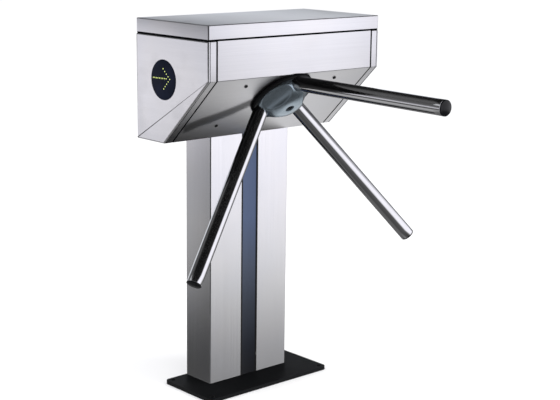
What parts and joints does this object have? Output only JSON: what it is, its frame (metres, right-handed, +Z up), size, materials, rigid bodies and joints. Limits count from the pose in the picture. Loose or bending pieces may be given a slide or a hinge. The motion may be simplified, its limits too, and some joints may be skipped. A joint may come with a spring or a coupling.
{
  "type": "tripod turnstile",
  "caption": "Single-column tripod turnstile: sloped-front cabinet on a floor plate, rotating hub with tubular arms, direction displays and a geared visitor counter.",
  "frame": {"origin": "centre of the floor plate's underside", "axes": "+Z up, -Y towards the passage (the side the hub faces), +X along the cabinet, to the right when facing the hub"},
  "size_m": [0.7609, 0.7954, 0.98],
  "materials": {
    "brushed_steel": "brushed stainless, long straight grain",
    "polished_steel": "mirror polished stainless",
    "cast_hub": "satin die casting",
    "zinc_steel": "zinc plated",
    "bearing_steel": "ground",
    "black_paint": "matt powder coat",
    "black_plastic": "moulded",
    "seal_rubber": "matt",
    "dark_strip": "deep blue black, semi gloss",
    "display_lens": "smoked, gloss",
    "circuit_board": "solder mask",
    "solenoid_coil": "moulded",
    "brass": "machined"
  },
  "bodies": {
    "root": {"base_plate": "black_paint", "column_core": "black_paint", "column_shell_left": "brushed_steel", "column_shell_right": "brushed_steel", "column_strip_front": "dark_strip", "column_strip_rear": "dark_strip", "column_top_flange": "black_paint", "cabinet_floor": "brushed_steel", "end_frame_left": "brushed_steel", "end_frame_right": "brushed_steel", "end_panel_left": "brushed_steel", "end_panel_right": "brushed_steel", "front_panel": "brushed_steel", "rear_panel": "brushed_steel", "lid_seal": "seal_rubber", "lid_hinge_lower": "zinc_steel", "lock_barrel": "zinc_steel", "display_lens_left": "display_lens", "display_lens_right": "display_lens", "led_board_left": "circuit_board", "led_board_right": "circuit_board", "mech_plate": "zinc_steel", "bearing_housing": "zinc_steel", "bearing_front": "bearing_steel", "bearing_rear": "bearing_steel", "carrier_plate": "zinc_steel", "follower_spring": "bearing_steel", "solenoid_entry": "solenoid_coil", "solenoid_exit": "solenoid_coil", "counter_encoder": "black_plastic", "panel_screw_1": "black_paint", "panel_screw_2": "black_paint", "panel_screw_3": "black_paint", "panel_screw_4": "black_paint", "control_board": "circuit_board", "power_supply": "zinc_steel", "supply_cable": "black_plastic"},
    "rotor": {"hub_body": "cast_hub", "hub_skirt": "black_plastic", "hub_bolt": "zinc_steel", "arm_1": "polished_steel", "arm_2": "polished_steel", "arm_3": "polished_steel", "arm_cap_1": "black_plastic", "arm_cap_2": "black_plastic", "arm_cap_3": "black_plastic", "main_shaft": "bearing_steel", "drive_gear": "zinc_steel", "index_cam": "zinc_steel", "lock_wheel": "zinc_steel"},
    "counter": {"counter_pinion": "brass"},
    "follower": {"follower_lever": "zinc_steel"},
    "roller": {"follower_roller": "bearing_steel"},
    "pawl_entry": {"pawl_entry": "zinc_steel"},
    "pawl_exit": {"pawl_exit": "zinc_steel"},
    "plunger_entry": {"plunger_entry": "bearing_steel"},
    "plunger_exit": {"plunger_exit": "bearing_steel"},
    "lid": {"lid": "brushed_steel", "lid_hinge_upper": "zinc_steel"},
    "lock": {"lock_cam": "zinc_steel"}
  },
  "joints": [
    {"name": "hub_spin", "type": "hinge", "parent": "root", "child": "rotor", "pos_m": [0, -0.12576, 0.78859], "axis": [0, -0.6959, -0.7181], "continuous": true},
    {"name": "counter_spin", "type": "hinge", "parent": "root", "child": "counter", "pos_m": [0, -0.03283, 0.81551], "axis": [0, -0.6959, -0.7181], "continuous": true},
    {"name": "follower_swing", "type": "hinge", "parent": "root", "child": "follower", "pos_m": [-0.055, -0.0942, 0.89587], "axis": [0, -0.6959, -0.7181], "range_deg": [-2.5, 0]},
    {"name": "roller_spin", "type": "hinge", "parent": "follower", "child": "roller", "pos_m": [0, -0.097, 0.88953], "axis": [0, -0.6959, -0.7181], "continuous": true},
    {"name": "pawl_entry_turn", "type": "hinge", "parent": "root", "child": "pawl_entry", "pos_m": [-0.049, -0.02757, 0.84105], "axis": [0, 0.6959, 0.7181], "range_deg": [0, 11.5]},
    {"name": "plunger_entry_slide", "type": "slide", "parent": "root", "child": "plunger_entry", "axis": [1, 0, 0], "range_m": [0, 0.006]},
    {"name": "pawl_exit_turn", "type": "hinge", "parent": "root", "child": "pawl_exit", "pos_m": [0.049, -0.02757, 0.84105], "axis": [0, -0.6959, -0.7181], "range_deg": [0, 11.5]},
    {"name": "plunger_exit_slide", "type": "slide", "parent": "root", "child": "plunger_exit", "axis": [-1, 0, 0], "range_m": [0, 0.006]},
    {"name": "lid_open", "type": "hinge", "parent": "root", "child": "lid", "pos_m": [0, 0.1075, 0.9437], "axis": [-1, 0, 0], "range_deg": [0, 100]},
    {"name": "lock_turn", "type": "hinge", "parent": "root", "child": "lock", "pos_m": [0.265, -0.0415, 0.925], "axis": [1, 0, 0], "range_deg": [0, 90]}
  ],
  "couplings": [
    {"joint": "counter_spin", "follows": "hub_spin", "ratio": -3},
    {"joint": "pawl_entry_turn", "follows": "plunger_entry_slide", "rad_per_m": 33.333},
    {"joint": "pawl_exit_turn", "follows": "plunger_exit_slide", "rad_per_m": 33.333}
  ]
}
